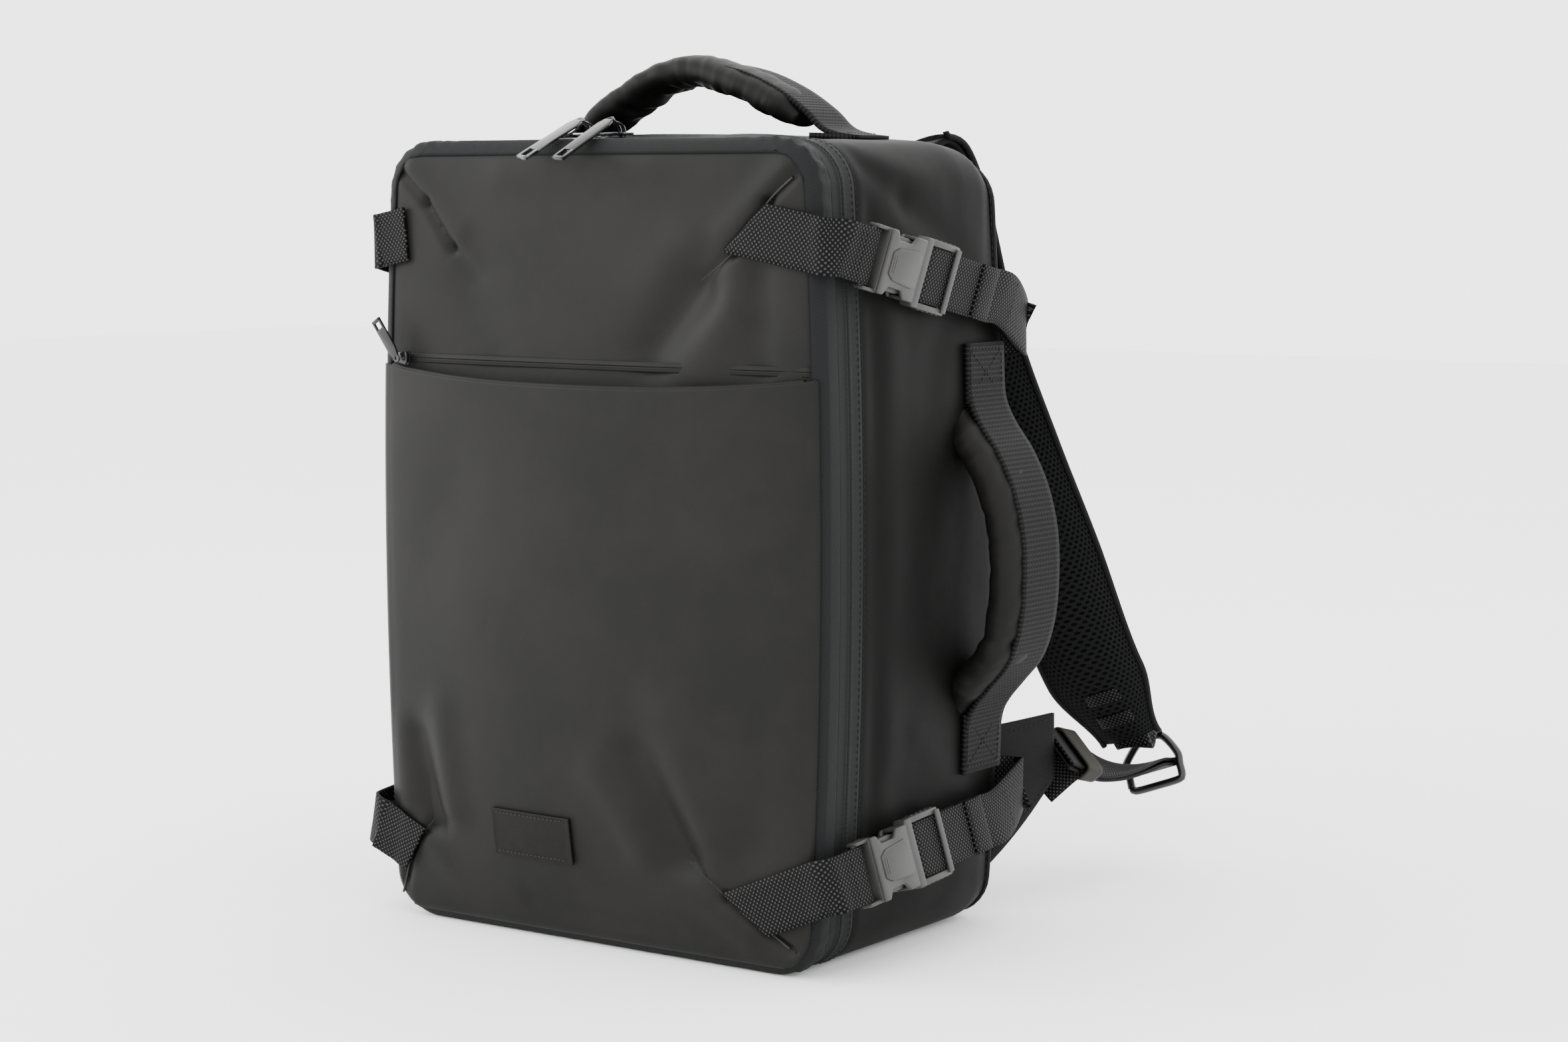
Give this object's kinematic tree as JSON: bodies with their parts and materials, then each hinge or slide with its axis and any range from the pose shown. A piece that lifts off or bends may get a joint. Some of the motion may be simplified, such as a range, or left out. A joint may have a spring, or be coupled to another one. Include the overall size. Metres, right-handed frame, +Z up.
{
  "type": "travel backpack",
  "caption": "Clamshell travel backpack with a zipped front lid, slip pocket, compression straps with side-release buckles, two carry handles and padded shoulder straps.",
  "frame": {"origin": "middle of the flat base that the bag stands on", "axes": "+Z up, -Y out of the front lid, +Y out of the back panel, +X towards the side that has the carry handle"},
  "size_m": [0.3644, 0.4045, 0.4856],
  "materials": {
    "shell_fabric": "soft-touch coated fabric, matt",
    "trim_fabric": "twill-like trim fabric",
    "webbing": "ribbed polyester webbing",
    "zip_tape": "reverse coil zip tape",
    "buckle_plastic": "fine-grained acetal",
    "gunmetal": "polished dark nickel",
    "black_metal": "black coated steel",
    "air_mesh": "open spacer mesh",
    "rubber_patch": "matt moulded rubber",
    "elastic": "olive woven elastic",
    "lining": "smooth polyester lining",
    "stiffener": "extruded sheet"
  },
  "bodies": {
    "bag": {"body_shell": "shell_fabric", "back_pad": "air_mesh", "frame_sheet": "stiffener", "laptop_sleeve": "lining", "base_board": "stiffener", "zip_tape_rear": "zip_tape", "rear_strap_upper_right": "webbing", "rear_strap_upper_left": "webbing", "rear_strap_lower_right": "webbing", "rear_strap_lower_left": "webbing", "strap_wing_right": "trim_fabric", "strap_wing_left": "trim_fabric", "shoulder_anchor_right": "shell_fabric", "shoulder_anchor_left": "shell_fabric", "top_handle_tab_right": "webbing", "top_handle_tab_left": "webbing", "side_handle_tab_upper": "webbing", "side_handle_tab_lower": "webbing"},
    "lid": {"front_panel": "shell_fabric", "slip_pocket": "shell_fabric", "zip_tape_front": "zip_tape", "zip_flap": "trim_fabric", "patch": "rubber_patch", "pocket_zip": "zip_tape"},
    "clip_upper_right": {"front_strap_upper_right": "webbing", "buckle_female_upper_right": "buckle_plastic"},
    "plug_upper_right": {"buckle_male_upper_right": "buckle_plastic", "adjust_loop_upper_right": "webbing"},
    "clip_upper_left": {"front_strap_upper_left": "webbing", "buckle_female_upper_left": "buckle_plastic"},
    "plug_upper_left": {"buckle_male_upper_left": "buckle_plastic", "adjust_loop_upper_left": "webbing"},
    "clip_lower_right": {"front_strap_lower_right": "webbing", "buckle_female_lower_right": "buckle_plastic"},
    "plug_lower_right": {"buckle_male_lower_right": "buckle_plastic", "adjust_loop_lower_right": "webbing"},
    "clip_lower_left": {"front_strap_lower_left": "webbing", "buckle_female_lower_left": "buckle_plastic"},
    "plug_lower_left": {"buckle_male_lower_left": "buckle_plastic", "adjust_loop_lower_left": "webbing"},
    "zip_slider_body_left": {"zip_slider_left": "gunmetal"},
    "zip_puller_body_left": {"zip_puller_left": "gunmetal"},
    "zip_slider_body_right": {"zip_slider_right": "gunmetal"},
    "zip_puller_body_right": {"zip_puller_right": "gunmetal"},
    "pocket_slider_body": {"pocket_slider": "black_metal"},
    "pocket_puller_body": {"pocket_puller": "black_metal"},
    "top_handle": {"top_handle_webbing": "webbing", "top_handle_sleeve": "shell_fabric"},
    "side_handle": {"side_handle_webbing": "webbing", "side_handle_sleeve": "shell_fabric"},
    "shoulder_right": {"shoulder_pad_right": "air_mesh", "pad_loop_right": "webbing", "hook_right": "black_metal"},
    "webbing_right": {"lower_webbing_right": "webbing"},
    "keeper_body_right": {"keeper_right": "elastic"},
    "shoulder_left": {"shoulder_pad_left": "air_mesh", "pad_loop_left": "webbing", "hook_left": "black_metal"},
    "webbing_left": {"lower_webbing_left": "webbing"},
    "keeper_body_left": {"keeper_left": "elastic"}
  },
  "joints": [
    {"name": "lid_hinge", "type": "hinge", "parent": "bag", "child": "lid", "pos_m": [0, -0.094, 0], "axis": [1, 0, 0], "range_deg": [0, 80]},
    {"name": "clip_swing_upper_right", "type": "hinge", "parent": "lid", "child": "clip_upper_right", "pos_m": [0.104, -0.10071, 0.394], "axis": [-0.1857, -0.0082, -0.9826], "range_deg": [0, 100]},
    {"name": "plug_slide_upper_right", "type": "slide", "parent": "bag", "child": "plug_upper_right", "axis": [0, 0.9817, -0.1903], "range_m": [0, 0.02]},
    {"name": "clip_swing_upper_left", "type": "hinge", "parent": "lid", "child": "clip_upper_left", "pos_m": [-0.13075, -0.09948, 0.38894], "axis": [-0.1855, 0.0095, 0.9826], "range_deg": [0, 100]},
    {"name": "plug_slide_upper_left", "type": "slide", "parent": "bag", "child": "plug_upper_left", "axis": [0, 0.9817, -0.1903], "range_m": [0, 0.02]},
    {"name": "clip_swing_lower_right", "type": "hinge", "parent": "lid", "child": "clip_lower_right", "pos_m": [0.104, -0.10454, 0.031], "axis": [0.3875, 0.0156, -0.9217], "range_deg": [0, 100]},
    {"name": "plug_slide_lower_right", "type": "slide", "parent": "bag", "child": "plug_lower_right", "axis": [0, 0.9975, 0.07], "range_m": [0, 0.02]},
    {"name": "clip_swing_lower_left", "type": "hinge", "parent": "lid", "child": "clip_lower_left", "pos_m": [-0.13125, -0.10317, 0.04248], "axis": [0.3849, -0.0365, 0.9222], "range_deg": [0, 100]},
    {"name": "plug_slide_lower_left", "type": "slide", "parent": "bag", "child": "plug_lower_left", "axis": [0, 0.9975, 0.07], "range_m": [0, 0.02]},
    {"name": "zip_run_left", "type": "slide", "parent": "bag", "child": "zip_slider_body_left", "axis": [-1, 0, 0], "range_m": [0, 0.088]},
    {"name": "puller_lift_left", "type": "hinge", "parent": "zip_slider_body_left", "child": "zip_puller_body_left", "pos_m": [-0.0205, -0.081, 0.4508], "axis": [-1, 0, 0], "range_deg": [0, 120]},
    {"name": "zip_run_right", "type": "slide", "parent": "bag", "child": "zip_slider_body_right", "axis": [1, 0, 0], "range_m": [0, 0.105]},
    {"name": "puller_lift_right", "type": "hinge", "parent": "zip_slider_body_right", "child": "zip_puller_body_right", "pos_m": [0.0005, -0.081, 0.4508], "axis": [-1, 0, 0], "range_deg": [0, 120]},
    {"name": "pocket_zip_run", "type": "hinge", "parent": "lid", "child": "pocket_slider_body", "pos_m": [0, 1.40559, 0.32], "axis": [0, 0, 1], "range_deg": [0, 9.96]},
    {"name": "pocket_puller_lift", "type": "hinge", "parent": "pocket_slider_body", "child": "pocket_puller_body", "pos_m": [-0.13182, -0.10738, 0.321], "axis": [0.9962, -0.0868, 0], "range_deg": [0, 150]},
    {"name": "top_handle_fold", "type": "hinge", "parent": "bag", "child": "top_handle", "pos_m": [-0.004, 0.012, 0.448], "axis": [1, 0, 0], "range_deg": [-50, 50]},
    {"name": "side_handle_fold", "type": "hinge", "parent": "bag", "child": "side_handle", "pos_m": [0.155, 0.057, 0.211], "axis": [0, 0, 1], "range_deg": [-50, 50]},
    {"name": "shoulder_swing_right", "type": "hinge", "parent": "bag", "child": "shoulder_right", "pos_m": [0.0665, 0.118, 0.4465], "axis": [1, 0, 0], "range_deg": [0, 60]},
    {"name": "webbing_swing_right", "type": "hinge", "parent": "bag", "child": "webbing_right", "pos_m": [0.151, 0.146, 0.091], "axis": [1, 0, 0], "range_deg": [0, 42]},
    {"name": "keeper_run_right", "type": "slide", "parent": "webbing_right", "child": "keeper_body_right", "axis": [-0.0567, 0.9425, -0.3294], "range_m": [0, 0.01]},
    {"name": "shoulder_swing_left", "type": "hinge", "parent": "bag", "child": "shoulder_left", "pos_m": [-0.0665, 0.118, 0.4465], "axis": [1, 0, 0], "range_deg": [0, 60]},
    {"name": "webbing_swing_left", "type": "hinge", "parent": "bag", "child": "webbing_left", "pos_m": [-0.151, 0.146, 0.091], "axis": [1, 0, 0], "range_deg": [0, 42]},
    {"name": "keeper_run_left", "type": "slide", "parent": "webbing_left", "child": "keeper_body_left", "axis": [0.0567, 0.9425, -0.3294], "range_m": [0, 0.01]}
  ],
  "couplings": [
    {"joint": "webbing_swing_right", "follows": "shoulder_swing_right", "ratio": 0.68},
    {"joint": "webbing_swing_left", "follows": "shoulder_swing_left", "ratio": 0.68}
  ]
}
